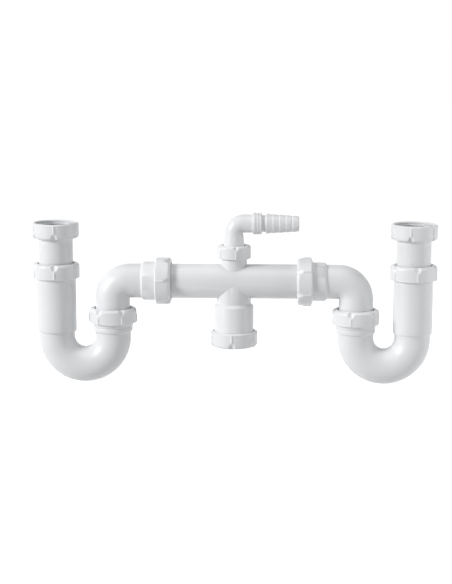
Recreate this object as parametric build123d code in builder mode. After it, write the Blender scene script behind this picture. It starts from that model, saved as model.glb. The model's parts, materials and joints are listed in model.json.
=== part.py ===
"""Double extendable sink trap: two telescopic U traps on the arms of one tee, with a hose nozzle on top.

The frame's origin is on the outlet's axis, where the seat cone in the socket's mouth ends and its plain
bore begins. +Z is up, the arms run along X, and the barbed hose nozzle points to +X. The left and the
right trap are the same mouldings, turned half round.
"""
import os
from math import cos, radians, sin

from build123d import *

os.makedirs("parts", exist_ok=True)

# Tubes and sockets
TUBE_R = 20.0                 # outside of the 40 mm waste tubes
TUBE_BORE_R = 18.0
SOCKET_BORE_R = 20.45         # inside of every socket that takes a 40 mm tube
SOCKET_R = 22.75              # outside of the sockets and of the long legs
THREAD_R = 23.2               # 1 1/2 inch pipe thread as a plain cylinder near its pitch radius
BEND_TUBE_R = 20.8            # outside of the U bend and of the outlet branch
BEND_BORE_R = 18.4
MOUTH_CONE_R = 22.3           # seat cone in a socket's mouth, for the conical washer
MOUTH_CONE_DEPTH = 3.0

# Slip nuts, shared by all seven tube joints and both inlets
NUT_HEIGHT = 17.2
NUT_CORNER_R = 28.0
NUT_FACE_R = 27.2             # middle of a bulged face
NUT_LIP = 3.0                 # end wall that pulls on the washer
NUT_LIP_BORE_R = 21.4
NUT_THREAD_R = 23.4
NUT_THREAD_DEPTH = 9.5
NUT_RELIEF_R = 24.0

# Washers and flanges held under a nut's lip
SEAT_GAP = 0.05
WASHER_BORE_R = 20.2
WASHER_R = 22.9
WASHER_RIM = 2.05
FLANGE_R = 22.4
FLANGE_THICKNESS = 2.0
FLAT_WASHER_THICKNESS = 2.5

# Depth of a socket's mouth below the outer end of the nut screwed on it
MOUTH_DEPTH = NUT_LIP + WASHER_RIM + 2 * SEAT_GAP

# Small nut, spigot and hose nozzle on top of the tee
SPIGOT_R = 15.1
SPIGOT_THREAD_R = 15.9
SPIGOT_BORE_R = 12.8
SMALL_NUT_HEIGHT = 13.2
SMALL_NUT_CORNER_R = 19.5
SMALL_NUT_FACE_R = 18.9
SMALL_NUT_LIP = 2.5
SMALL_NUT_LIP_BORE_R = 12.7
SMALL_NUT_THREAD_R = 16.1
SMALL_NUT_THREAD_DEPTH = 6.5
SMALL_NUT_RELIEF_R = 16.6
NOZZLE_FLANGE_R = 15.0
NOZZLE_WASHER_R = 15.5
NOZZLE_WASHER_THICKNESS = 1.6
NOZZLE_FOOT_R = 12.1
NOZZLE_TUBE_R = 10.6
NOZZLE_BORE_R = 6.5
NOZZLE_BEND_R = 11.2
NOZZLE_RISE = 67.6            # nozzle's level axis above the tee's axis
COLLAR_R = 12.7               # 3/4 inch pipe thread as a plain cylinder near its pitch radius
COLLAR_START = 22.1
COLLAR_END = 32.2
NECK_R = 9.8
BARB_START = 37.1
BARB_END = 75.4
BARB_COUNT = 5
BARB_FIRST_R = 11.5
BARB_LAST_R = 9.4
BARB_DROP = 1.5               # from a tooth's crest to its thin end

# Places. Heights here are above the tee's axis, which is AXIS_Z above the start of the outlet's bore.
AXIS_Z = 68.2
OUTLET_MOUTH_Z = -MOUTH_CONE_DEPTH
ELBOW_X = 141.9               # upright axis of an elbow and of the short leg under it
LEG_SPACING = 66.0            # from the short leg to the long leg
LEG_X = ELBOW_X + LEG_SPACING
ELBOW_BEND_R = 20.6           # hardly more than the tube, so the inside corner is almost sharp
ARM_NUT_X = 73.1              # outer end of the nut, towards the tee
ARM_SOCKET_END = 105.8
ARM_LEDGE_X = 104.0
ARM_TUBE_END = 98.0
LEG_NUT_TOP = 20.6
SHORT_NUT_TOP = -31.9
INLET_NUT_BOTTOM = 49.85
SMALL_NUT_TOP = 42.5
LEG_STEP_Z = -60.0
LEG_LEDGE_Z = -57.5
SHORT_COLLAR_Z = -60.8
SHORT_LEDGE_Z = -60.0
U_CENTRE_Z = -66.5
INLET_TUBE_END = -30.0
ELBOW_TUBE_END = -53.5
OUTLET_SHOULDER_Z = -25.9
OUTLET_LEDGE_Z = -39.0

# Which way a corner of each nut faces, in degrees from the front, as the nuts happen to be tightened
NUT_TURNS = {
    "left_inlet": -4.0, "left_leg": -2.0, "left_short": 22.5, "left_arm": -4.0,
    "right_inlet": -8.6, "right_leg": 12.0, "right_short": -11.0, "right_arm": 23.0,
    "outlet": -4.0, "nozzle": 11.0,
}


def at_axis(height):
    """Height above the origin, from a height above the tee's axis."""
    return AXIS_Z + height


def save(part, name):
    """Label a finished piece and write its file."""
    part.label = name
    export_step(part, f"parts/{name}.step")


def turned(profile):
    """A ring or tube turned about Z, from the outline of its half section as (radius, height) points."""
    with BuildPart() as ring:
        with BuildSketch(Plane.XZ):
            with BuildLine():
                Polyline(*profile, close=True)
            make_face()
        revolve(axis=Axis.Z)
    return ring.part


def slip_nut(height, corner_r, face_r, lip, lip_bore_r, thread_r, thread_depth, relief_r):
    """A six-sided nut, threaded end at z = 0: bulged faces, a rib on each corner and a scoop above it."""
    scale = corner_r / NUT_CORNER_R
    corner = 60.0
    shoulder = 4.6 * scale            # height of the rounded end
    end_r = lip_bore_r + 1.6 * scale  # flat ring left on the end face
    scoop_height = 6.5 * scale
    scoop_tilt = 7.0                  # degrees that a scoop leans inwards
    with BuildPart() as nut:
        with BuildSketch():
            with BuildLine():
                for k in range(6):
                    start = radians(corner * k - 90)
                    middle = radians(corner * (k + 0.5) - 90)
                    end = radians(corner * (k + 1) - 90)
                    ThreePointArc(
                        (corner_r * cos(start), corner_r * sin(start)),
                        (face_r * cos(middle), face_r * sin(middle)),
                        (corner_r * cos(end), corner_r * sin(end)),
                    )
            make_face()
        extrude(amount=height)
        # A narrow half-round rib runs up each corner.
        with BuildSketch():
            with PolarLocations(corner_r - 0.7 * scale, 6, start_angle=-90):
                Circle(1.2 * scale)
        extrude(amount=height - scoop_height)
        # The plain end is rounded off, and the threaded end has a small chamfer.
        rim_r = corner_r + 1.5
        edge = 0.9 * scale
        with BuildSketch(Plane.XZ):
            with BuildLine():
                Polyline((0, height), (0, 0), (rim_r - 1.4 - edge, 0), (rim_r, 1.4 + edge),
                         (rim_r, height - shoulder))
                ThreePointArc(
                    (rim_r, height - shoulder),
                    ((rim_r + end_r) / 2 + 0.9 * scale, height - shoulder * 0.32),
                    (end_r, height),
                )
                Line((end_r, height), (0, height))
            make_face()
        revolve(axis=Axis.Z, mode=Mode.INTERSECT)
        # A hollow scoop, pointed below, is cut over each rib.
        for k in range(6):
            turn = corner * k - 90
            apex = Vector(corner_r + 0.4 * scale, 0, height - scoop_height).rotate(Axis.Z, turn)
            lean = Vector(-sin(radians(scoop_tilt)), 0, cos(radians(scoop_tilt))).rotate(Axis.Z, turn)
            length = scoop_height * 1.6
            with Locations(Plane(origin=apex + lean * (length / 2), z_dir=lean)):
                Cone(bottom_radius=0.05, top_radius=length * 0.66, height=length, mode=Mode.SUBTRACT)
        # Bore: thread, relief behind it, and the narrower hole in the lip.
        with BuildSketch(Plane.XZ):
            with BuildLine():
                Polyline(
                    (0, -1), (thread_r, -1), (thread_r, thread_depth), (relief_r, thread_depth + 0.6),
                    (relief_r, height - lip), (lip_bore_r, height - lip), (lip_bore_r, height + 1),
                    (0, height + 1), close=True,
                )
            make_face()
        revolve(axis=Axis.Z, mode=Mode.SUBTRACT)
    return nut.part


def conical_washer():
    """Seal with its rim's outer face at z = 0, and its cone pointing down into the socket's mouth."""
    cone_slope = (MOUTH_CONE_R - SOCKET_BORE_R) / MOUTH_CONE_DEPTH
    cone_length = 2.4
    cone_gap = 0.25
    top_r = MOUTH_CONE_R - cone_gap
    return turned([
        (WASHER_BORE_R, 0), (WASHER_R, 0), (WASHER_R, -WASHER_RIM), (top_r, -WASHER_RIM),
        (top_r - cone_slope * cone_length, -WASHER_RIM - cone_length),
        (WASHER_BORE_R, -WASHER_RIM - cone_length),
    ])


def placed(part, position, rotation=(0, 0, 0)):
    return part.moved(Location(position, rotation))


def right_elbow():
    """Bend from the arm to the short leg, with a threaded socket on the arm and a plain tail below."""
    bend_x = ELBOW_X - ELBOW_BEND_R
    bend_z = AXIS_Z - ELBOW_BEND_R
    mouth_x = ARM_NUT_X + MOUTH_DEPTH
    thread_end = ARM_NUT_X + NUT_HEIGHT - 0.5
    tail_z = at_axis(ELBOW_TUBE_END)
    level = Plane(origin=(0, 0, AXIS_Z), x_dir=(0, 1, 0), z_dir=(1, 0, 0))
    along_arm = Axis((0, 0, AXIS_Z), (1, 0, 0))
    round_bend = Axis((bend_x, 0, bend_z), (0, -1, 0))
    with BuildPart() as elbow:
        with BuildSketch(Plane.XY.offset(tail_z)):
            with Locations((ELBOW_X, 0)):
                Circle(TUBE_R)
        extrude(amount=bend_z - tail_z)
        with BuildSketch(Plane.XY.offset(bend_z)):
            with Locations((ELBOW_X, 0)):
                Circle(TUBE_R)
        revolve(axis=round_bend, revolution_arc=90)
        # The socket: thread, plain band, rounded shoulder and the tube on to the bend
        shoulder = 1.8
        with BuildSketch(Plane.XZ):
            with BuildLine():
                Polyline(
                    (bend_x, AXIS_Z), (mouth_x, AXIS_Z), (mouth_x, AXIS_Z + THREAD_R - 0.6),
                    (mouth_x + 0.6, AXIS_Z + THREAD_R), (thread_end, AXIS_Z + THREAD_R),
                    (thread_end, AXIS_Z + SOCKET_R), (ARM_SOCKET_END - shoulder, AXIS_Z + SOCKET_R),
                )
                RadiusArc(
                    (ARM_SOCKET_END - shoulder, AXIS_Z + SOCKET_R),
                    (ARM_SOCKET_END, AXIS_Z + SOCKET_R - shoulder), shoulder,
                )
                Polyline(
                    (ARM_SOCKET_END, AXIS_Z + SOCKET_R - shoulder), (ARM_SOCKET_END, AXIS_Z + TUBE_R),
                    (bend_x, AXIS_Z + TUBE_R), (bend_x, AXIS_Z),
                )
            make_face()
        revolve(axis=along_arm)
        # The way through: tail, bend, ledge, socket and its seat cone
        with BuildSketch(Plane.XY.offset(tail_z)):
            with Locations((ELBOW_X, 0)):
                Circle(TUBE_BORE_R)
        extrude(amount=bend_z - tail_z, mode=Mode.SUBTRACT)
        with BuildSketch(Plane.XY.offset(bend_z)):
            with Locations((ELBOW_X, 0)):
                Circle(TUBE_BORE_R)
        revolve(axis=round_bend, revolution_arc=90, mode=Mode.SUBTRACT)
        with BuildSketch(Plane.XZ):
            with BuildLine():
                Polyline(
                    (bend_x, AXIS_Z), (bend_x, AXIS_Z + TUBE_BORE_R), (ARM_LEDGE_X, AXIS_Z + TUBE_BORE_R),
                    (ARM_LEDGE_X, AXIS_Z + SOCKET_BORE_R),
                    (mouth_x + MOUTH_CONE_DEPTH, AXIS_Z + SOCKET_BORE_R),
                    (mouth_x, AXIS_Z + MOUTH_CONE_R), (mouth_x, AXIS_Z), close=True,
                )
            make_face()
        revolve(axis=along_arm, mode=Mode.SUBTRACT)
    return elbow.part


def right_u_bend():
    """U-shaped trap in one moulding: long threaded leg, half-round bend and short threaded socket."""
    u_z = at_axis(U_CENTRE_Z)
    middle_x = ELBOW_X + LEG_SPACING / 2
    leg_mouth = at_axis(LEG_NUT_TOP) - MOUTH_DEPTH
    leg_thread = at_axis(LEG_NUT_TOP) - NUT_HEIGHT + 0.5
    short_mouth = at_axis(SHORT_NUT_TOP) - MOUTH_DEPTH
    short_thread = at_axis(SHORT_NUT_TOP) - NUT_HEIGHT - 1.6
    leg_axis = Axis((LEG_X, 0, 0), (0, 0, 1))
    short_axis = Axis((ELBOW_X, 0, 0), (0, 0, 1))
    round_bend = Axis((middle_x, 0, u_z), (0, 1, 0))
    with BuildPart() as u_bend:
        # Long leg, with the thread on top and a step where it meets the bend
        step = at_axis(LEG_STEP_Z)
        with BuildSketch(Plane.XZ):
            with BuildLine():
                Polyline(
                    (LEG_X, u_z), (LEG_X + BEND_TUBE_R, u_z), (LEG_X + BEND_TUBE_R, step),
                    (LEG_X + SOCKET_R - 0.7, step), (LEG_X + SOCKET_R, step + 0.7),
                    (LEG_X + SOCKET_R, leg_thread), (LEG_X + THREAD_R, leg_thread),
                    (LEG_X + THREAD_R, leg_mouth - 0.6), (LEG_X + THREAD_R - 0.6, leg_mouth),
                    (LEG_X, leg_mouth), close=True,
                )
            make_face()
        revolve(axis=leg_axis)
        # Short socket, with a thread, a plain band and a bevel down to the bend's tube
        collar = at_axis(SHORT_COLLAR_Z)
        bevel = SOCKET_R - BEND_TUBE_R
        with BuildSketch(Plane.XZ):
            with BuildLine():
                Polyline(
                    (ELBOW_X, u_z), (ELBOW_X + BEND_TUBE_R, u_z), (ELBOW_X + BEND_TUBE_R, collar),
                    (ELBOW_X + SOCKET_R, collar + bevel), (ELBOW_X + SOCKET_R, short_thread),
                    (ELBOW_X + THREAD_R, short_thread), (ELBOW_X + THREAD_R, short_mouth - 0.6),
                    (ELBOW_X + THREAD_R - 0.6, short_mouth), (ELBOW_X, short_mouth), close=True,
                )
            make_face()
        revolve(axis=short_axis)
        # The bend
        with BuildSketch(Plane.XY.offset(u_z)):
            with Locations((LEG_X, 0)):
                Circle(BEND_TUBE_R)
        revolve(axis=round_bend, revolution_arc=180)
        # The way through
        with BuildSketch(Plane.XY.offset(u_z)):
            with Locations((LEG_X, 0)):
                Circle(BEND_BORE_R)
        revolve(axis=round_bend, revolution_arc=180, mode=Mode.SUBTRACT)
        for axis, centre, ledge, mouth in (
            (leg_axis, LEG_X, at_axis(LEG_LEDGE_Z), leg_mouth),
            (short_axis, ELBOW_X, at_axis(SHORT_LEDGE_Z), short_mouth),
        ):
            with BuildSketch(Plane.XZ):
                with BuildLine():
                    Polyline(
                        (centre, u_z), (centre + BEND_BORE_R, u_z), (centre + BEND_BORE_R, ledge),
                        (centre + SOCKET_BORE_R, ledge), (centre + SOCKET_BORE_R, mouth - MOUTH_CONE_DEPTH),
                        (centre + MOUTH_CONE_R, mouth), (centre, mouth), close=True,
                    )
                make_face()
            revolve(axis=axis, mode=Mode.SUBTRACT)
    return u_bend.part


def inlet_tube():
    """Flanged tube on the Z axis, at its real height."""
    flange_low = at_axis(INLET_NUT_BOTTOM) + NUT_LIP + SEAT_GAP
    flange_top = flange_low + FLANGE_THICKNESS
    foot = at_axis(INLET_TUBE_END)
    return turned([
        (TUBE_BORE_R, foot), (TUBE_R - 0.8, foot), (TUBE_R, foot + 0.8), (TUBE_R, flange_low),
        (FLANGE_R, flange_low), (FLANGE_R, flange_top), (TUBE_BORE_R, flange_top),
    ])


# Tee: cross tube, outlet branch with its socket below, and spigot above
outlet_nut_top = OUTLET_MOUTH_Z - MOUTH_DEPTH + NUT_HEIGHT
outlet_thread = outlet_nut_top - 0.5
spigot_mouth = at_axis(SMALL_NUT_TOP) - SMALL_NUT_LIP - FLANGE_THICKNESS - NOZZLE_WASHER_THICKNESS - 3 * SEAT_GAP
spigot_thread = at_axis(SMALL_NUT_TOP) - SMALL_NUT_HEIGHT + 0.5
with BuildPart() as tee:
    with BuildSketch(Plane.YZ.offset(-ARM_TUBE_END)):
        with Locations((0, AXIS_Z)):
            Circle(TUBE_R)
    extrude(amount=2 * ARM_TUBE_END)
    chamfer(tee.edges().filter_by(GeomType.CIRCLE), 0.8)
    shoulder_z = at_axis(OUTLET_SHOULDER_Z)
    with BuildSketch(Plane.XZ):
        with BuildLine():
            Polyline(
                (0, AXIS_Z), (BEND_TUBE_R, AXIS_Z), (BEND_TUBE_R, shoulder_z), (SOCKET_R - 1.0, shoulder_z),
                (SOCKET_R, shoulder_z - 1.0), (SOCKET_R, outlet_thread), (THREAD_R, outlet_thread),
                (THREAD_R, OUTLET_MOUTH_Z + 0.6), (THREAD_R - 0.6, OUTLET_MOUTH_Z), (0, OUTLET_MOUTH_Z), close=True,
            )
        make_face()
    revolve(axis=Axis.Z)
    with BuildSketch(Plane.XZ):
        with BuildLine():
            Polyline(
                (0, AXIS_Z), (SPIGOT_R, AXIS_Z), (SPIGOT_R, spigot_thread), (SPIGOT_THREAD_R, spigot_thread),
                (SPIGOT_THREAD_R, spigot_mouth - 0.5), (SPIGOT_THREAD_R - 0.5, spigot_mouth),
                (0, spigot_mouth), close=True,
            )
        make_face()
    revolve(axis=Axis.Z)
    # The ways through
    with BuildSketch(Plane.YZ.offset(-ARM_TUBE_END)):
        with Locations((0, AXIS_Z)):
            Circle(TUBE_BORE_R)
    extrude(amount=2 * ARM_TUBE_END, mode=Mode.SUBTRACT)
    ledge_z = at_axis(OUTLET_LEDGE_Z)
    with BuildSketch(Plane.XZ):
        with BuildLine():
            Polyline(
                (0, OUTLET_MOUTH_Z), (MOUTH_CONE_R, OUTLET_MOUTH_Z), (SOCKET_BORE_R, 0), (SOCKET_BORE_R, ledge_z),
                (BEND_BORE_R, ledge_z), (BEND_BORE_R, AXIS_Z), (SPIGOT_BORE_R, AXIS_Z),
                (SPIGOT_BORE_R, spigot_mouth), (0, spigot_mouth), close=True,
            )
        make_face()
    revolve(axis=Axis.Z, mode=Mode.SUBTRACT)
save(tee.part, "tee")

# Hose nozzle: flange, tapered foot, bend, threaded collar, neck and barbed tail in one moulding
nozzle_z = at_axis(NOZZLE_RISE)
bend_low = nozzle_z - NOZZLE_BEND_R
flange_top = at_axis(SMALL_NUT_TOP) - SMALL_NUT_LIP - SEAT_GAP
flange_low = flange_top - FLANGE_THICKNESS
nozzle_bend = Axis((NOZZLE_BEND_R, 0, bend_low), (0, 1, 0))
nozzle_axis = Axis((0, 0, nozzle_z), (1, 0, 0))
with BuildPart() as nozzle:
    with BuildSketch(Plane.XZ):
        with BuildLine():
            Polyline(
                (0, flange_low), (NOZZLE_FLANGE_R, flange_low), (NOZZLE_FLANGE_R, flange_top),
                (NOZZLE_FOOT_R, flange_top), (NOZZLE_FOOT_R, flange_top + SMALL_NUT_LIP + 1.0),
                (NOZZLE_TUBE_R, bend_low), (0, bend_low), close=True,
            )
        make_face()
    revolve(axis=Axis.Z)
    with BuildSketch(Plane.XY.offset(bend_low)):
        Circle(NOZZLE_TUBE_R)
    revolve(axis=nozzle_bend, revolution_arc=90)
    tooth = (BARB_END - BARB_START) / BARB_COUNT
    crest_step = (BARB_FIRST_R - BARB_LAST_R) / (BARB_COUNT - 1)
    with BuildSketch(Plane.XZ):
        with BuildLine():
            outline = [
                (NOZZLE_BEND_R, nozzle_z), (NOZZLE_BEND_R, nozzle_z + NOZZLE_TUBE_R),
                (COLLAR_START, nozzle_z + NOZZLE_TUBE_R), (COLLAR_START, nozzle_z + COLLAR_R),
                (COLLAR_END - 0.6, nozzle_z + COLLAR_R), (COLLAR_END, nozzle_z + COLLAR_R - 0.6),
                (COLLAR_END, nozzle_z + NECK_R), (BARB_START, nozzle_z + NECK_R),
            ]
            for k in range(BARB_COUNT):
                crest = BARB_FIRST_R - k * crest_step
                outline.append((BARB_START + k * tooth, nozzle_z + crest))
                outline.append((BARB_START + k * tooth + 1.2, nozzle_z + crest))
                outline.append((BARB_START + (k + 1) * tooth, nozzle_z + crest - BARB_DROP))
            outline.append((BARB_END, nozzle_z))
            Polyline(*outline, close=True)
        make_face()
    revolve(axis=nozzle_axis)
    # The way through
    with BuildSketch(Plane.XY.offset(flange_low)):
        Circle(NOZZLE_BORE_R)
    extrude(amount=bend_low - flange_low, mode=Mode.SUBTRACT)
    with BuildSketch(Plane.XY.offset(bend_low)):
        Circle(NOZZLE_BORE_R)
    revolve(axis=nozzle_bend, revolution_arc=90, mode=Mode.SUBTRACT)
    with BuildSketch(Plane.YZ.offset(NOZZLE_BEND_R)):
        with Locations((0, nozzle_z)):
            Circle(NOZZLE_BORE_R)
    extrude(amount=BARB_END - NOZZLE_BEND_R, mode=Mode.SUBTRACT)
save(nozzle.part, "hose_nozzle")

# Small nut and flat washer of the nozzle
small_nut = slip_nut(
    SMALL_NUT_HEIGHT, SMALL_NUT_CORNER_R, SMALL_NUT_FACE_R, SMALL_NUT_LIP, SMALL_NUT_LIP_BORE_R,
    SMALL_NUT_THREAD_R, SMALL_NUT_THREAD_DEPTH, SMALL_NUT_RELIEF_R,
)
small_nut_low = at_axis(SMALL_NUT_TOP) - SMALL_NUT_HEIGHT
save(placed(small_nut, (0, 0, small_nut_low), (0, 0, NUT_TURNS["nozzle"])), "nozzle_nut")
washer_low = spigot_mouth + SEAT_GAP
washer_top = washer_low + NOZZLE_WASHER_THICKNESS
save(turned([
    (NOZZLE_BORE_R + 2, washer_low), (NOZZLE_WASHER_R, washer_low), (NOZZLE_WASHER_R, washer_top),
    (NOZZLE_BORE_R + 2, washer_top),
]), "nozzle_washer")

# Outlet nut, its plain end down, and its washer
big_nut = slip_nut(
    NUT_HEIGHT, NUT_CORNER_R, NUT_FACE_R, NUT_LIP, NUT_LIP_BORE_R, NUT_THREAD_R, NUT_THREAD_DEPTH, NUT_RELIEF_R,
)
washer = conical_washer()
save(placed(big_nut, (0, 0, outlet_nut_top), (180, 0, NUT_TURNS["outlet"])), "outlet_nut")
save(placed(washer, (0, 0, OUTLET_MOUTH_Z - WASHER_RIM - SEAT_GAP), (180, 0, 0)), "outlet_washer")

# The two traps: side +1 is the right one, and the left one is the same turned half round
elbow = right_elbow()
u_bend = right_u_bend()
tube = inlet_tube()
inlet_flange_top = at_axis(INLET_NUT_BOTTOM) + NUT_LIP + SEAT_GAP + FLANGE_THICKNESS
flat_low = inlet_flange_top + SEAT_GAP
flat_washer = turned([
    (TUBE_BORE_R, flat_low), (WASHER_R, flat_low), (WASHER_R, flat_low + FLAT_WASHER_THICKNESS),
    (TUBE_BORE_R, flat_low + FLAT_WASHER_THICKNESS),
])
for name, side in (("right", 1), ("left", -1)):
    half_turn = (0, 0, 0 if side > 0 else 180)
    arm_turn = (0, -90 * side, 0)
    leg_x = side * LEG_X
    elbow_x = side * ELBOW_X
    save(placed(elbow, (0, 0, 0), half_turn), f"{name}_elbow")
    save(placed(u_bend, (0, 0, 0), half_turn), f"{name}_u_bend")
    save(placed(tube, (leg_x, 0, 0)), f"{name}_inlet_tube")
    save(placed(flat_washer, (leg_x, 0, 0)), f"{name}_inlet_washer")
    inlet_top = at_axis(INLET_NUT_BOTTOM) + NUT_HEIGHT
    save(placed(big_nut, (leg_x, 0, inlet_top), (180, 0, NUT_TURNS[f"{name}_inlet"])), f"{name}_inlet_nut")
    for joint, x, top in (("leg", leg_x, at_axis(LEG_NUT_TOP)), ("short", elbow_x, at_axis(SHORT_NUT_TOP))):
        save(placed(big_nut, (x, 0, top - NUT_HEIGHT), (0, 0, NUT_TURNS[f"{name}_{joint}"])), f"{name}_{joint}_nut")
        save(placed(washer, (x, 0, top - NUT_LIP - SEAT_GAP)), f"{name}_{joint}_washer")
    nut_outer = side * (ARM_NUT_X + NUT_HEIGHT)
    lip_inner = side * (ARM_NUT_X + NUT_LIP + SEAT_GAP)
    spun_nut = placed(big_nut, (0, 0, 0), (0, 0, NUT_TURNS[f"{name}_arm"]))
    save(placed(spun_nut, (nut_outer, 0, AXIS_Z), arm_turn), f"{name}_arm_nut")
    save(placed(washer, (lip_inner, 0, AXIS_Z), arm_turn), f"{name}_arm_washer")
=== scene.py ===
"""Finish, slip nuts, finer forms, studio light and camera of a double extendable sink trap in white plastic."""

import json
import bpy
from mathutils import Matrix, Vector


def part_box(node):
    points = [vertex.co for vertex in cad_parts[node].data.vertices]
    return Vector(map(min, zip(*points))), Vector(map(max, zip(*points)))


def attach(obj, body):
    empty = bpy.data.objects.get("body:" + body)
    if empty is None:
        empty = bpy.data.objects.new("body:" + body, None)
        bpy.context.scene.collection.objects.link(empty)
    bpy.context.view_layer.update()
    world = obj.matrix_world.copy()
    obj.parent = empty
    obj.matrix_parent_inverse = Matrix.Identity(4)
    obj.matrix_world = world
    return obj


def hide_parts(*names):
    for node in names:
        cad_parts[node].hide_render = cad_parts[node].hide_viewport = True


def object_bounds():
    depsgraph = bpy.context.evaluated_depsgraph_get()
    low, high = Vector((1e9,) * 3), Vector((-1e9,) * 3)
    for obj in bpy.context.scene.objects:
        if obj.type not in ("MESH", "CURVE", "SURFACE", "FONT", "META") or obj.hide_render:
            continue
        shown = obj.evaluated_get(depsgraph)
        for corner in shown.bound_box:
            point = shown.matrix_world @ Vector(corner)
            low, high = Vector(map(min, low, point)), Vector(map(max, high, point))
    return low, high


bl_info = {
    "name": "Double Extendable Trap",
    "version": (1, 0, 0),
    "blender": (4, 5, 0),
    "location": "View3D > Sidebar > Trap",
    "description": "Dresses a twin-bowl sink trap: moulded plastic, slip nuts, seals, threads, studio and camera",
    "category": "Object",
}

from math import atan2, copysign, cos, pi, radians, sin, sqrt, tan

import bmesh
import bpy
from bpy.props import FloatProperty, FloatVectorProperty, PointerProperty
from mathutils import Matrix, Vector

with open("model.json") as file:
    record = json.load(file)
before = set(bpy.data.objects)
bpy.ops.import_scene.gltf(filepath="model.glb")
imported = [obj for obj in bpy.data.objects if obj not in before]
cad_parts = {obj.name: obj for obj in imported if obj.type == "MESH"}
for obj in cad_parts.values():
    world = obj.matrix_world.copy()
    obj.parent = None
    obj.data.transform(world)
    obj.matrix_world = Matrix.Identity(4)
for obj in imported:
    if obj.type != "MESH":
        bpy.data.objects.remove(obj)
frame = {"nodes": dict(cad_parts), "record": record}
CAD_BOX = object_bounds()

MM = 0.001
MERGE_DISTANCE = 1e-7         # in metres, for the points of a new mesh
SOLID_MERGE_DISTANCE = 1e-6   # the same for a solid's mesh
WELD_DISTANCE = 2e-6
PHOTO_WIDTH = 452
PHOTO_HEIGHT = 584
SENSOR = 36.0

PLASTIC_SLOT = "white_plastic"
SEAL_SLOT = "seal"
SLOT_OF = {part["node"]: part["material_slot"] for part in frame["record"]["subparts"]}
MOUNTS = {mount["name"]: mount for mount in frame["record"]["mounts"]}
BODY_OF = {node: body for body, nodes in frame["record"]["behaviour"]["bodies"].items() for node in nodes}
NUTS = [node for node in SLOT_OF if node.endswith("_nut")]

# Sizes and places on the solids in millimetres, and what the reshaped pieces make of them
NEAR = 0.1                    # how close a point has to be to a place or a radius
TUBE_R = 20.0
SOCKET_R = 22.75
SOCKET_SLACK = 0.15

# Tee: heights are below the cross tube's axis
BRANCH_R = 19.7
BRANCH_DEPTH = 25.9           # where the outlet branch meets the socket's shoulder
SOLID_BRANCH_RADII = (20.3, 22.0)  # the solid's branch and the ring at its foot lie between these
SHOULDER_DROP = 1.0
SHOULDER_BEVEL = 2.0          # added to the drop

# Hose nozzle: places are along its level axis, from the middle of the tee
COLLAR_GROOVES = (26.0, 29.4)
COLLAR_GROOVE_HALF = 0.7
COLLAR_GROOVE_R = 11.7
COLLAR_INNER_R = 12.5         # everything outside this belongs to the collar
BARB_START = 37.1
BARB_CREST_R = 11.5
BARB_TAPER = 0.055            # how much the crests lose along the axis
BARB_THIN = 0.7               # a point this far inside the crests is a barb's thin end
BARB_GAIN = 0.3
BARB_THIN_GAIN = 0.6
NOZZLE_INNER_R = 7.0          # just outside the bore
NECK_OUTER_R = 10.5           # just outside the neck

# Elbows: places are along the arm, from the middle of the tee
ARM_SOCKET_SPAN = (89.0, 106.0)
SOLID_SHOULDER_START = 104.0
SOLID_SHOULDER_END = 105.0    # just before the foot of the solid's shoulder
ARM_SOCKET_R = 22.5
ARM_BEVEL_START = 105.3
ARM_BEVEL_END = 107.8

# U bends: heights are below the cross tube's axis
SHORT_LEG_X = 141.9
SOLID_THREAD_END = 50.7
SHORT_THREAD_END = 53.3
SHORT_GROOVE = 54.0
SHORT_BAND_START = 54.8
SHORT_GROOVE_R = 22.1
SHORT_THREAD_RADII = (22.0, 24.0)
SHORT_BAND_RADII = (22.6, 23.3)

# Slip nut of a tube joint in millimetres; the nozzle's nut has the same form, made smaller
NUT_CREST_R = 28.5            # outside of the ribs
NUT_CORNER_R = 27.7
NUT_FACE_R = 27.2
RIB_R = 1.2
END_R = 22.4                  # flat ring at the plain end
END_ROUND_HEIGHT = 3.2
END_ROUND_PROUD = 0.1         # the rounding starts this far outside the faces
RELIEF_TAPER = 0.6
SECTOR = pi / 3               # from one corner to the next
FACE_CENTRE = (NUT_FACE_R ** 2 - NUT_CORNER_R ** 2) / (2 * (NUT_FACE_R - NUT_CORNER_R * cos(SECTOR / 2)))
FACE_ARC_R = NUT_FACE_R - FACE_CENTRE

# How wide the nut's corners are rounded: beside a rib, at the rounded end, at the foot's bevel and round a scoop
RIB_BLEND = 0.15
ROUND_BLEND = 0.6
FOOT_BLEND = 0.4
SCOOP_BLEND = 0.6

# Mesh of a nut: rows in the rounded end, the scoops and the faces, then at the foot in parts of its bevel
NUT_COLUMNS = 240
CROWDING = 1.6                # how much closer the columns stand near the corners
ROUND_ROWS = 10
SCOOP_ROWS = 13
SCOOP_ROW_STEP = 0.4
FACE_ROW = 10.0
FOOT_ROWS = (1.5, 1.3, 1.15, 1.05, 0.95, 0.85, 0.7, 0.35, 0)
OUTSIDE_R = 40.0              # where the outside stands before it is drawn in

# Which way a corner of each nut faces, in degrees from the front towards the right, or upwards on the arms
NUT_TURNS = {
    "left_inlet_nut": 4.0, "left_leg_nut": 3.5, "left_short_nut": 28.5, "left_arm_nut": 6.8,
    "right_inlet_nut": -12.0, "right_leg_nut": 6.2, "right_short_nut": -14.0, "right_arm_nut": 34.0,
    "outlet_nut": -3.5, "nozzle_nut": 9.0,
}
NUT_BORES = {
    "joint": {"thread_r": 23.4, "thread_depth": 9.5, "relief_r": 24.0, "lip": 3.0, "hole_r": 21.4, "bevel": 0.8},
    "small": {"thread_r": 23.1, "thread_depth": 9.3, "relief_r": 23.8, "lip": 3.59, "hole_r": 18.24, "bevel": 3.1},
}

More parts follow.
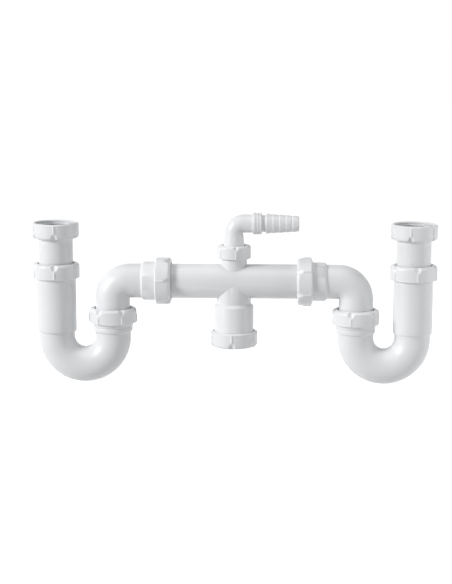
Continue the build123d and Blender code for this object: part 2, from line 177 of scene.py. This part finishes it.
# Softboxes: azimuth from the viewer's side towards the right and elevation in degrees, distance and size in metres
SOFTBOXES = {"key": (-62, 22, 4.8, 1.3), "top": (0, 80, 1.8, 1.5), "fill": (80, 10, 1.0, 0.6)}
FLOOR_SIZE = 12
FLOOR_ALBEDO = 0.82           # towards the part
FLOOR_SHADOW_ALBEDO = 0.45    # towards the camera, on top of the glow
FLOOR_GLOW = 0.98


class TrapPlastic(bpy.types.PropertyGroup):
    """Look of the white mouldings and of the seals."""

    colour: FloatVectorProperty(
        name="Plastic colour", description="Base colour of the white polypropylene",
        subtype="COLOR", size=4, min=0, max=1, default=(0.85, 0.86, 0.87, 1),
    )
    shade_colour: FloatVectorProperty(
        name="Plastic variation", description="Slightly deeper tone in the cloudy variation of the plastic",
        subtype="COLOR", size=4, min=0, max=1, default=(0.82, 0.83, 0.845, 1),
    )
    roughness: FloatProperty(
        name="Roughness", description="Gloss of the moulded surface", default=0.34, min=0, max=1, subtype="FACTOR",
    )
    edge_radius: FloatProperty(
        name="Edge radius", description="Rounding of the moulded edges", default=0.35 * MM, min=0,
        unit="LENGTH", precision=5,
    )
    seal_colour: FloatVectorProperty(
        name="Seal colour", description="Base colour of the washers",
        subtype="COLOR", size=4, min=0, max=1, default=(0.045, 0.055, 0.080, 1),
    )


class TrapNut(bpy.types.PropertyGroup):
    """Outside of the slip nuts, in millimetres at the size of a tube joint's nut."""

    lead: FloatProperty(
        name="Lead", description="How far a nut reaches past the threaded end of its plain solid", default=1.2,
    )
    small_lead: FloatProperty(
        name="Small lead", description="The same for the nozzle's nut", default=3.1,
    )
    small_girth: FloatProperty(
        name="Small girth", description="Width of the nozzle's nut over that of its plain solid", default=1.03,
    )
    foot_bevel: FloatProperty(
        name="Foot bevel", description="Height of the bevel at the threaded end", default=1.5,
    )
    small_foot_bevel: FloatProperty(
        name="Small foot bevel", description="The same for the nozzle's nut", default=0.8,
    )
    foot_width: FloatProperty(
        name="Foot width", description="Width of the bevel at the threaded end", default=3.3,
    )
    inlet_foot_width: FloatProperty(
        name="Inlet foot width", description="The same at the wide mouths of the inlet nuts", default=2.1,
    )
    scoop_length: FloatProperty(
        name="Scoop length", description="From the plain end to the top of a scoop's arch", default=7.0,
    )
    scoop_half_width: FloatProperty(
        name="Scoop half width", description="Half the width of a scoop at the plain end", default=5.3,
    )
    scoop_slope: FloatProperty(
        name="Scoop slope", description="Slope of a scoop's deepest line from the nut's axis", default=radians(34),
        subtype="ANGLE",
    )


class TrapThread(bpy.types.PropertyGroup):
    """Sizes of the visible threads."""

    inlet_pitch: FloatProperty(
        name="Inlet pitch", description="Pitch of the thread in the inlet nuts", default=2.309 * MM,
        unit="LENGTH", precision=5,
    )
    inlet_crest: FloatProperty(
        name="Inlet crest", description="Height of the inlet thread over the bore", default=0.9 * MM,
        unit="LENGTH", precision=5,
    )
    seal_depth: FloatProperty(
        name="Seal depth", description="From the inlet's rim down to its washer", default=5.5 * MM,
        unit="LENGTH", precision=5,
    )


class TrapStudio(bpy.types.PropertyGroup):
    """Camera and light."""

    focal_px: FloatProperty(
        name="Focal length", description="Focal length in pixels of the photograph's frame", default=1512,
    )
    distance: FloatProperty(
        name="Distance", description="From the camera to the middle of the tee", default=1.760, unit="LENGTH",
    )
    pitch: FloatProperty(
        name="Look down", description="How far the camera looks down", default=radians(9.8), subtype="ANGLE",
    )
    yaw: FloatProperty(
        name="Turn", description="How far the right end is turned to the camera", default=radians(2.34),
        subtype="ANGLE",
    )
    tee_across: FloatProperty(
        name="Tee across", description="Pixels from the picture's left edge to the middle of the tee", default=234.0,
    )
    tee_down: FloatProperty(
        name="Tee down", description="Pixels from the picture's top edge to the middle of the tee", default=281.17,
    )
    key_power: FloatProperty(
        name="Key light", description="Power of the distant softbox on the left", default=170.0, unit="POWER",
    )
    top_power: FloatProperty(
        name="Top light", description="Power of the wide softbox overhead", default=11.5, unit="POWER",
    )
    fill_power: FloatProperty(
        name="Fill light", description="Power of the weak softbox on the right", default=3.0, unit="POWER",
    )
    ambient: FloatProperty(
        name="Ambient", description="Strength of the even light from all round", default=0.085,
    )
    floor_drop: FloatProperty(
        name="Floor drop", description="Gap between the lowest bend and the floor", default=0.12, unit="LENGTH",
    )


def set_inputs(node, **values):
    """Set the named sockets of a shader node."""
    for key, value in values.items():
        node.inputs[key.replace("_", " ")].default_value = value


def new_material(name):
    material = bpy.data.materials.new(name)
    material.use_nodes = True
    tree = material.node_tree
    shader = tree.nodes["Principled BSDF"]
    coordinates = tree.nodes.new("ShaderNodeTexCoord")
    return material, tree, shader, coordinates


def noise(tree, coordinates, scale, detail):
    node = tree.nodes.new("ShaderNodeTexNoise")
    set_inputs(node, Scale=scale, Detail=detail)
    tree.links.new(coordinates.outputs["Object"], node.inputs["Vector"])
    return node


def spread(tree, source, low, high):
    """Map a noise's middle range to low..high."""
    node = tree.nodes.new("ShaderNodeMapRange")
    set_inputs(node, From_Min=0.3, From_Max=0.7, To_Min=low, To_Max=high)
    tree.links.new(source.outputs["Fac"], node.inputs["Value"])
    return node.outputs["Result"]


def add_bump(tree, shader, source, strength):
    """Let a noise stand 0.2 mm proud, weakened to a strength."""
    bump = tree.nodes.new("ShaderNodeBump")
    set_inputs(bump, Strength=strength, Distance=0.2 * MM)
    tree.links.new(source.outputs["Fac"], bump.inputs["Height"])
    tree.links.new(bump.outputs["Normal"], shader.inputs["Normal"])


def white_plastic():
    """Moulded polypropylene: faint cloudy tone, uneven gloss and a very fine orange peel."""
    look = bpy.context.scene.trap_plastic
    material, tree, shader, coordinates = new_material("white_polypropylene")
    cloud = noise(tree, coordinates, scale=9.0, detail=3.0)
    tone = tree.nodes.new("ShaderNodeMix")
    tone.data_type = "RGBA"
    tone.inputs["A"].default_value = look.shade_colour
    tone.inputs["B"].default_value = look.colour
    tree.links.new(spread(tree, cloud, low=0.0, high=1.0), tone.inputs["Factor"])
    tree.links.new(tone.outputs["Result"], shader.inputs["Base Color"])
    gloss = noise(tree, coordinates, scale=60.0, detail=3.0)
    rough = spread(tree, gloss, low=look.roughness - 0.04, high=look.roughness + 0.05)
    tree.links.new(rough, shader.inputs["Roughness"])
    peel = noise(tree, coordinates, scale=900.0, detail=2.0)
    add_bump(tree, shader, peel, strength=0.05)
    shader.inputs["Specular IOR Level"].default_value = 0.5
    shader.inputs["IOR"].default_value = 1.49
    return material


def seal_rubber():
    """Soft washer: matt, with a dusty grain."""
    look = bpy.context.scene.trap_plastic
    material, tree, shader, coordinates = new_material("washer_rubber")
    shader.inputs["Base Color"].default_value = look.seal_colour
    grain = noise(tree, coordinates, scale=700.0, detail=3.0)
    tree.links.new(spread(tree, grain, low=0.55, high=0.72), shader.inputs["Roughness"])
    add_bump(tree, shader, grain, strength=0.15)
    return material


def material_for(slot):
    """The finish of a slot, made once."""
    name = {PLASTIC_SLOT: "white_polypropylene", SEAL_SLOT: "washer_rubber"}[slot]
    made = bpy.data.materials.get(name)
    if made:
        return made
    return white_plastic() if slot == PLASTIC_SLOT else seal_rubber()


def round_edges(piece):
    """Slightly rounded edges, as on any moulding."""
    weld = piece.modifiers.new("weld", "WELD")
    weld.merge_threshold = WELD_DISTANCE
    bevel = piece.modifiers.new("rounded_edges", "BEVEL")
    bevel.limit_method = "ANGLE"
    bevel.angle_limit = radians(30)
    bevel.width = bpy.context.scene.trap_plastic.edge_radius
    bevel.segments = 3
    bevel.harden_normals = True


def dress(node, slot):
    """Give a solid its finish, with smooth shading and rounded edges."""
    solid = frame["nodes"][node]
    solid.data.materials.clear()
    solid.data.materials.append(material_for(slot))
    for face in solid.data.polygons:
        face.use_smooth = True
        face.material_index = 0
    round_edges(solid)


def add_piece(name, mesh_maker, body, slot):
    """Make a mesh object from a bmesh, ride it on a body and give it the slot's finish."""
    shape = bmesh.new()
    mesh_maker(shape)
    bmesh.ops.remove_doubles(shape, verts=shape.verts, dist=MERGE_DISTANCE)
    bmesh.ops.recalc_face_normals(shape, faces=shape.faces)
    mesh = bpy.data.meshes.new(name)
    shape.to_mesh(mesh)
    shape.free()
    for face in mesh.polygons:
        face.use_smooth = True
    piece = bpy.data.objects.new(name, mesh)
    bpy.context.scene.collection.objects.link(piece)
    mesh.materials.append(material_for(slot))
    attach(piece, body)
    return piece


def replace_solid(node, mesh_maker):
    """Put a piece with rounded edges in a solid's place."""
    piece = add_piece(f"{node}_moulding", mesh_maker, BODY_OF[node], SLOT_OF[node])
    round_edges(piece)
    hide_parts(node)


def helix_ridge(shape, place, root_r, crest_r, pitch, turns):
    """A thread's ridge: a small closed section, spun and lifted round Z, then put in its place."""
    steps_per_turn = 72
    half_root = 0.42 * pitch
    half_crest = 0.14 * pitch
    section = [(root_r, -half_root), (crest_r, -half_crest), (crest_r, half_crest), (root_r, half_root)]
    corners = [shape.verts.new((radius, 0, height)) for radius, height in section]
    loop = [shape.edges.new((corners[k], corners[(k + 1) % 4])) for k in range(4)]
    shape.faces.new(corners)
    steps = round(steps_per_turn * turns)
    bmesh.ops.spin(
        shape, geom=corners + loop, cent=(0, 0, 0), axis=(0, 0, 1), dvec=(0, 0, pitch / steps_per_turn),
        angle=2 * pi * steps / steps_per_turn, steps=steps, use_merge=False, use_duplicate=False,
    )
    open_edges = [edge for edge in shape.edges if edge.is_boundary]
    bmesh.ops.holes_fill(shape, edges=open_edges, sides=4)
    bmesh.ops.transform(shape, matrix=place, verts=shape.verts)


def threaded_end(node):
    """Axes at the middle of a nut's threaded end, with Z pointing out of the nut."""
    low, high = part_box(node)
    middle = (low + high) / 2
    if "_arm_" in node:
        out = Vector((1 if middle.x > 0 else -1, 0, 0))
    else:
        out = Vector((0, 0, 1 if node.endswith(("inlet_nut", "outlet_nut")) else -1))
    end = middle + out * abs((high - low).dot(out)) / 2
    return Matrix.Translation(end) @ out.to_track_quat("Z", "Y").to_matrix().to_4x4()


def soft_min(first, second, blend):
    """The smaller of two lengths, with the corner between them rounded."""
    near = max(blend - abs(first - second), 0) / blend
    return min(first, second) - near * near * blend / 4


def nut_skin(turn, depth, height, bevel, foot_width):
    """Radius of a nut's outside, at an angle from a corner and a depth below the plain end."""
    nut = bpy.context.scene.trap_nut
    across = NUT_CORNER_R * turn
    off_middle = SECTOR / 2 - abs(turn)
    side = FACE_CENTRE * cos(off_middle) + sqrt(FACE_ARC_R ** 2 - (FACE_CENTRE * sin(off_middle)) ** 2)
    rib = NUT_CREST_R - RIB_R + sqrt(RIB_R ** 2 - across ** 2) if abs(across) < RIB_R else 0
    radius = -soft_min(-side, -rib, RIB_BLEND)
    above = max(1 - depth / END_ROUND_HEIGHT, 0)
    round_width = NUT_FACE_R + END_ROUND_PROUD - END_R
    rounding = END_R + round_width * sqrt(1 - above ** 2) + max(depth - END_ROUND_HEIGHT, 0)
    radius = soft_min(radius, rounding, ROUND_BLEND)
    foot = NUT_FACE_R - foot_width + (height - depth) * foot_width / bevel
    radius = soft_min(radius, foot, FOOT_BLEND)
    drop = tan(nut.scoop_slope)
    hollow = drop * nut.scoop_length / nut.scoop_half_width ** 2
    scoop = NUT_CORNER_R - drop * (nut.scoop_length - depth) + hollow * across ** 2
    return soft_min(radius, scoop, SCOOP_BLEND)


def nut_wire(solid_height, height, bevel, bore):
    """Outline of a nut's section as radius and depth: the outside, still in one line, and then the bore."""
    depths = [END_ROUND_HEIGHT * (1 - cos(pi / 2 * row / ROUND_ROWS)) for row in range(ROUND_ROWS + 1)]
    depths += [END_ROUND_HEIGHT + SCOOP_ROW_STEP * row for row in range(1, SCOOP_ROWS + 1)]
    depths += [FACE_ROW, *(height - bevel * part for part in FOOT_ROWS)]
    thread_r, relief_r, hole_r = bore["thread_r"], bore["relief_r"], bore["hole_r"]
    thread_end = solid_height - bore["thread_depth"]
    return [(OUTSIDE_R, depth) for depth in depths] + [
        (thread_r, solid_height), (thread_r, thread_end), (relief_r, thread_end - RELIEF_TAPER),
        (relief_r, bore["lip"]), (hole_r, bore["lip"]), (hole_r, bore["bevel"]), (hole_r + bore["bevel"], 0),
    ]


def nut_corner_angle(node, local):
    """Angle of a nut's foremost corner, round the axis of its threaded end."""
    facing = radians(NUT_TURNS[node])
    across = Vector((0, 0, 1)) if "_arm_" in node else Vector((1, 0, 0))
    aim = local.to_3x3() @ (sin(facing) * across - cos(facing) * Vector((0, 1, 0)))
    return atan2(aim.y, aim.x)


def nut_shell(shape, node):
    """A slip nut in its place: a wire spun into a ring, whose outside is then drawn in to ribs, faces and scoops."""
    nut = bpy.context.scene.trap_nut
    small = node == "nozzle_nut"
    place = threaded_end(node)
    local = place.inverted()
    points = [local @ vert.co for vert in frame["nodes"][node].data.vertices]
    scale = max(point.xy.length for point in points) / NUT_CREST_R
    plain_z = min(point.z for point in points)
    solid_height = -plain_z / scale
    height = solid_height + (nut.small_lead if small else nut.lead)
    bevel = nut.small_foot_bevel if small else nut.foot_bevel
    foot_width = nut.inlet_foot_width if node.endswith("inlet_nut") else nut.foot_width
    girth = nut.small_girth if small else 1
    corner = nut_corner_angle(node, local)
    wire = nut_wire(solid_height, height, bevel, NUT_BORES["small" if small else "joint"])
    spots = [shape.verts.new((radius, 0, depth)) for radius, depth in wire]
    loop = [shape.edges.new((spots[k - 1], spots[k])) for k in range(len(spots))]
    bmesh.ops.spin(
        shape, geom=spots + loop, cent=(0, 0, 0), axis=(0, 0, 1), angle=2 * pi, steps=NUT_COLUMNS,
        use_merge=True, use_duplicate=False,
    )
    for vert in shape.verts:
        # Columns stand closer together near the corners, where the ribs and scoops are.
        angle = atan2(vert.co.y, vert.co.x)
        sector = round(angle / SECTOR)
        share = (angle - sector * SECTOR) / (SECTOR / 2)
        turn = copysign(abs(share) ** CROWDING, share) * SECTOR / 2
        radius, depth = vert.co.xy.length, vert.co.z
        if radius > OUTSIDE_R - 1:
            radius = girth * nut_skin(turn, depth, height, bevel, foot_width)
        angle = corner + sector * SECTOR + turn
        vert.co = (radius * cos(angle), radius * sin(angle), depth)
    bmesh.ops.scale(shape, vec=(scale, scale, scale), verts=shape.verts)
    bmesh.ops.translate(shape, vec=(0, 0, plain_z), verts=shape.verts)
    bmesh.ops.transform(shape, matrix=place, verts=shape.verts)


def cut_across(shape, origin, normal):
    """Add a ring of edges where a plane crosses the mesh."""
    everything = shape.verts[:] + shape.edges[:] + shape.faces[:]
    bmesh.ops.bisect_plane(shape, geom=everything, dist=MERGE_DISTANCE, plane_co=origin, plane_no=normal)


def from_level_axis(vert, axis_z):
    """Distance in millimetres from an axis that runs along X."""
    return Vector((vert.co.y, vert.co.z - axis_z)).length / MM


def stretch_from_level_axis(vert, axis_z, factor):
    vert.co.y *= factor
    vert.co.z = axis_z + (vert.co.z - axis_z) * factor


def slim_branch(shape):
    """The tee with a slightly slimmer outlet branch, and a bevel from it to the socket."""
    axis_z = tee_middle().z
    inner_r, outer_r = SOLID_BRANCH_RADII
    for vert in shape.verts:
        radius = vert.co.xy.length / MM
        below = (axis_z - vert.co.z) / MM
        if -NEAR < below < BRANCH_DEPTH + NEAR and inner_r < radius < outer_r:
            # Points above the cross tube's surface come down onto it.
            vert.co.xy *= BRANCH_R / radius
            below = max(below, sqrt(TUBE_R ** 2 - min(abs(vert.co.y) / MM, TUBE_R) ** 2))
            vert.co.z = axis_z - below * MM
        elif abs(below - BRANCH_DEPTH - SHOULDER_DROP) < NEAR and radius > SOCKET_R - SOCKET_SLACK:
            vert.co.z -= SHOULDER_BEVEL * MM


def ring_collar(shape):
    """The hose nozzle with two grooves round its collar and fuller barbs."""
    axis_z = MOUNTS["hose_thread"]["pos_m"][2]
    for groove in COLLAR_GROOVES:
        for shift in (-COLLAR_GROOVE_HALF, 0, COLLAR_GROOVE_HALF):
            cut_across(shape, ((groove + shift) * MM, 0, 0), (1, 0, 0))
    for vert in shape.verts:
        place = vert.co.x / MM
        radius = from_level_axis(vert, axis_z)
        target = radius
        past_start = place - BARB_START
        on_first_crest = past_start > -NEAR and radius > NECK_OUTER_R
        if radius > COLLAR_INNER_R and min(abs(place - groove) for groove in COLLAR_GROOVES) < NEAR:
            target = COLLAR_GROOVE_R
        elif radius > NOZZLE_INNER_R and (past_start > NEAR or on_first_crest):
            crest = BARB_CREST_R - BARB_TAPER * past_start
            target += BARB_GAIN if radius > crest - BARB_THIN else BARB_THIN_GAIN
        stretch_from_level_axis(vert, axis_z, target / radius)


def bevel_socket(shape):
    """An elbow whose socket is longer and ends in a straight bevel."""
    axis_z = tee_middle().z
    low, high = ARM_SOCKET_SPAN
    for vert in shape.verts:
        place = abs(vert.co.x) / MM
        radius = from_level_axis(vert, axis_z)
        if not low < place < high or not TUBE_R - NEAR < radius < SOCKET_R + SOCKET_SLACK:
            continue
        on_socket = radius > TUBE_R + NEAR
        slim = ARM_SOCKET_R / SOCKET_R if on_socket else 1
        if on_socket and place > SOLID_SHOULDER_START - NEAR:
            place = ARM_BEVEL_START + ARM_SOCKET_R - radius * slim
        elif not on_socket and place > SOLID_SHOULDER_END:
            place = ARM_BEVEL_END
        vert.co.x = copysign(place * MM, vert.co.x)
        stretch_from_level_axis(vert, axis_z, slim)


def groove_socket(shape):
    """A U bend whose short socket shows the end of its thread and a groove below the nut."""
    side = 1 if sum(vert.co.x for vert in shape.verts) > 0 else -1
    centre = Vector((side * SHORT_LEG_X * MM, 0))
    axis_z = tee_middle().z
    inner_r, outer_r = SHORT_THREAD_RADII
    for vert in shape.verts:
        at_thread_end = abs((axis_z - vert.co.z) / MM - SOLID_THREAD_END) < NEAR
        if at_thread_end and inner_r < (vert.co.xy - centre).length / MM < outer_r:
            vert.co.z = axis_z - SHORT_THREAD_END * MM
    groove_z = axis_z - SHORT_GROOVE * MM
    for level in (groove_z, axis_z - SHORT_BAND_START * MM):
        cut_across(shape, (0, 0, level), (0, 0, 1))
    inner_r, outer_r = SHORT_BAND_RADII
    for vert in shape.verts:
        out = vert.co.xy - centre
        if abs(vert.co.z - groove_z) < SOLID_MERGE_DISTANCE and inner_r < out.length / MM < outer_r:
            vert.co.xy = centre + out * (SHORT_GROOVE_R * MM / out.length)


def thicken_seal(shape):
    """An inlet washer that reaches up to where the open nut shows it."""
    top = max(vert.co.z for vert in shape.verts)
    rim_z = MOUNTS["left_inlet"]["pos_m"][2]
    for vert in shape.verts:
        if vert.co.z > top - NEAR * MM:
            vert.co.z = rim_z - bpy.context.scene.trap_thread.seal_depth


RESHAPED = {
    "tee": slim_branch, "hose_nozzle": ring_collar, "left_elbow": bevel_socket, "right_elbow": bevel_socket,
    "left_u_bend": groove_socket, "right_u_bend": groove_socket,
    "left_inlet_washer": thicken_seal, "right_inlet_washer": thicken_seal,
}


def dress_solids(wanted_slot):
    """Finish the solids of a slot that no piece replaces."""
    for node, slot in SLOT_OF.items():
        if slot == wanted_slot and node not in NUTS and node not in RESHAPED:
            dress(node, slot)


class TRAP_OT_mouldings(bpy.types.Operator):
    """Give every white moulding its plastic finish"""

    bl_idname = "trap.mouldings"
    bl_label = "White mouldings"

    def execute(self, context):
        dress_solids(PLASTIC_SLOT)
        return {"FINISHED"}


class TRAP_OT_nuts(bpy.types.Operator):
    """Shape the slip nuts, with soft scoops and longer threaded ends than the plain solids have"""

    bl_idname = "trap.nuts"
    bl_label = "Slip nuts"

    def execute(self, context):
        for node in NUTS:
            def shell(shape):
                nut_shell(shape, node)

            replace_solid(node, shell)
        return {"FINISHED"}


class TRAP_OT_seals(bpy.types.Operator):
    """Give every washer its rubber finish"""

    bl_idname = "trap.seals"
    bl_label = "Seals"

    def execute(self, context):
        dress_solids(SEAL_SLOT)
        return {"FINISHED"}


class TRAP_OT_reshaped(bpy.types.Operator):
    """Finish the tee, nozzle, elbows, U bends and inlet washers where the plain solids lack a form"""

    bl_idname = "trap.reshaped"
    bl_label = "Reshaped mouldings"

    def execute(self, context):
        for node, edit in RESHAPED.items():
            def shell(shape):
                shape.from_mesh(frame["nodes"][node].data)
                bmesh.ops.remove_doubles(shape, verts=shape.verts, dist=SOLID_MERGE_DISTANCE)
                edit(shape)

            replace_solid(node, shell)
        return {"FINISHED"}


class TRAP_OT_inlet_threads(bpy.types.Operator):
    """Wind a pipe thread into both open inlet nuts, down to the washers"""

    bl_idname = "trap.inlet_threads"
    bl_label = "Inlet threads"

    def execute(self, context):
        thread = context.scene.trap_thread
        pitch = thread.inlet_pitch
        washer_gap = 0.3 * MM
        start_rise = 0.5 * pitch
        end_room = 1.1 * pitch
        depth = thread.seal_depth - washer_gap
        turns = (depth - end_room) / pitch
        for side in ("left", "right"):
            mount = MOUNTS[f"{side}_inlet"]
            bore_r = mount["dims"]["r_mm"] * MM
            root_r = bore_r + 0.05 * MM    # sunk a little into the bore's wall
            low = Vector(mount["pos_m"]) - Vector((0, 0, depth - start_rise))

            def ridge(shape):
                helix_ridge(shape, Matrix.Translation(low), root_r, bore_r - thread.inlet_crest, pitch, turns)

            add_piece(f"{side}_inlet_thread", ridge, BODY_OF[f"{side}_inlet_nut"], PLASTIC_SLOT)
        return {"FINISHED"}


def softbox(name, azimuth, elevation, distance, size, power):
    """A square area light that faces the tee."""
    turn, lift = radians(azimuth), radians(elevation)
    outward = Vector((sin(turn) * cos(lift), -cos(turn) * cos(lift), sin(lift)))
    data = bpy.data.lights.new(name, "AREA")
    data.shape = "SQUARE"
    data.size = size
    data.energy = power
    lamp = bpy.data.objects.new(name, data)
    lamp.location = tee_middle() + distance * outward
    lamp.rotation_euler = outward.to_track_quat("Z", "Y").to_euler()
    bpy.context.scene.collection.objects.link(lamp)


def is_seen_directly(tree):
    """One for camera, glossy and transmission rays, so that gloss shows the same pale background."""
    path = tree.nodes.new("ShaderNodeLightPath")
    total = path.outputs["Is Camera Ray"]
    for ray in ("Is Glossy Ray", "Is Transmission Ray"):
        join = tree.nodes.new("ShaderNodeMath")
        join.operation = "MAXIMUM"
        tree.links.new(total, join.inputs[0])
        tree.links.new(path.outputs[ray], join.inputs[1])
        total = join.outputs["Value"]
    return total


def studio_world(ambient):
    """Even pale light all round, seen as plain white."""
    world = bpy.data.worlds.new("pale_studio")
    bpy.context.scene.world = world
    world.use_nodes = True
    tree = world.node_tree
    tree.nodes.clear()
    light = tree.nodes.new("ShaderNodeBackground")
    light.inputs["Strength"].default_value = ambient
    light.inputs["Color"].default_value = (0.97, 0.985, 1, 1)
    seen = tree.nodes.new("ShaderNodeBackground")
    seen.inputs["Color"].default_value = (1, 1, 1, 1)
    seen.inputs["Strength"].default_value = 1
    mix = tree.nodes.new("ShaderNodeMixShader")
    output = tree.nodes.new("ShaderNodeOutputWorld")
    tree.links.new(is_seen_directly(tree), mix.inputs["Fac"])
    tree.links.new(light.outputs[0], mix.inputs[1])
    tree.links.new(seen.outputs[0], mix.inputs[2])
    tree.links.new(mix.outputs[0], output.inputs["Surface"])


def pale_floor_material():
    """White floor that stays white to the camera and still takes a faint shadow."""
    material = bpy.data.materials.new("pale_floor")
    material.use_nodes = True
    tree = material.node_tree
    tree.nodes.clear()
    plain = tree.nodes.new("ShaderNodeBsdfDiffuse")
    plain.inputs["Color"].default_value = (FLOOR_ALBEDO, FLOOR_ALBEDO, FLOOR_ALBEDO, 1)
    soft = tree.nodes.new("ShaderNodeBsdfDiffuse")
    soft.inputs["Color"].default_value = (FLOOR_SHADOW_ALBEDO, FLOOR_SHADOW_ALBEDO, FLOOR_SHADOW_ALBEDO, 1)
    glow = tree.nodes.new("ShaderNodeEmission")
    glow.inputs["Strength"].default_value = FLOOR_GLOW
    lit = tree.nodes.new("ShaderNodeAddShader")
    mix = tree.nodes.new("ShaderNodeMixShader")
    output = tree.nodes.new("ShaderNodeOutputMaterial")
    tree.links.new(soft.outputs[0], lit.inputs[0])
    tree.links.new(glow.outputs[0], lit.inputs[1])
    tree.links.new(is_seen_directly(tree), mix.inputs["Fac"])
    tree.links.new(plain.outputs[0], mix.inputs[1])
    tree.links.new(lit.outputs[0], mix.inputs[2])
    tree.links.new(mix.outputs[0], output.inputs["Surface"])
    return material


def tee_middle():
    """Middle of the tee's cross tube, halfway between the arms' axes."""
    low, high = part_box("left_arm_nut")
    return Vector((0, 0, (low.z + high.z) / 2))


def photo_camera(studio):
    """A camera at the photograph's place, worked out from where the tee's middle stands in the picture."""
    forward = Vector((
        -sin(studio.yaw) * cos(studio.pitch), cos(studio.yaw) * cos(studio.pitch), -sin(studio.pitch),
    ))
    right = Vector((cos(studio.yaw), sin(studio.yaw), 0))
    up = right.cross(forward)
    metres_per_pixel = studio.distance / studio.focal_px
    across = (studio.tee_across - PHOTO_WIDTH / 2) * metres_per_pixel
    down = (studio.tee_down - PHOTO_HEIGHT / 2) * metres_per_pixel
    place = tee_middle() - forward * studio.distance - right * across + up * down
    data = bpy.data.cameras.new("photo_camera")
    data.sensor_width = SENSOR
    data.lens = SENSOR * studio.focal_px / max(PHOTO_WIDTH, PHOTO_HEIGHT)
    camera = bpy.data.objects.new("photo_camera", data)
    bpy.context.scene.collection.objects.link(camera)
    axes = Matrix((right, up, -forward)).transposed()
    camera.matrix_world = Matrix.Translation(place) @ axes.to_4x4()
    bpy.context.scene.camera = camera


class TRAP_OT_stage(bpy.types.Operator):
    """Set up the pale floor, the studio light and the camera"""

    bl_idname = "trap.stage"
    bl_label = "Studio"

    def execute(self, context):
        studio = context.scene.trap_studio
        context.scene.view_settings.view_transform = "Standard"
        studio_world(studio.ambient)
        sheet = bmesh.new()
        bmesh.ops.create_grid(sheet, x_segments=1, y_segments=1, size=FLOOR_SIZE)
        bmesh.ops.translate(sheet, verts=sheet.verts, vec=(0, 0, CAD_BOX[0].z - studio.floor_drop))
        mesh = bpy.data.meshes.new("floor")
        sheet.to_mesh(mesh)
        sheet.free()
        mesh.materials.append(pale_floor_material())
        floor = bpy.data.objects.new("floor", mesh)
        context.scene.collection.objects.link(floor)
        for name, placing in SOFTBOXES.items():
            softbox(f"{name}_softbox", *placing, getattr(studio, f"{name}_power"))
        photo_camera(studio)
        return {"FINISHED"}


OPERATORS = (
    TRAP_OT_mouldings, TRAP_OT_nuts, TRAP_OT_seals, TRAP_OT_reshaped, TRAP_OT_inlet_threads, TRAP_OT_stage,
)
GROUPS = {
    "trap_plastic": TrapPlastic, "trap_nut": TrapNut, "trap_thread": TrapThread, "trap_studio": TrapStudio,
}


class TRAP_PT_panel(bpy.types.Panel):
    """Sizes, colours and steps of the trap"""

    bl_idname = "TRAP_PT_panel"
    bl_label = "Double Extendable Trap"
    bl_space_type = "VIEW_3D"
    bl_region_type = "UI"
    bl_category = "Trap"

    def draw(self, context):
        for attribute, group in GROUPS.items():
            box = self.layout.box()
            for prop in group.__annotations__:
                box.prop(getattr(context.scene, attribute), prop)
        for operator in OPERATORS:
            self.layout.operator(operator.bl_idname)


CLASSES = (*GROUPS.values(), *OPERATORS, TRAP_PT_panel)


def register():
    for cls in CLASSES:
        bpy.utils.register_class(cls)
    for attribute, group in GROUPS.items():
        setattr(bpy.types.Scene, attribute, PointerProperty(type=group))


def unregister():
    for attribute in GROUPS:
        delattr(bpy.types.Scene, attribute)
    for cls in reversed(CLASSES):
        bpy.utils.unregister_class(cls)


def main():
    register()
    bpy.ops.trap.mouldings()
    bpy.ops.trap.nuts()
    bpy.ops.trap.seals()
    bpy.ops.trap.reshaped()
    bpy.ops.trap.inlet_threads()
    bpy.ops.trap.stage()


if __name__ == "__main__":
    main()
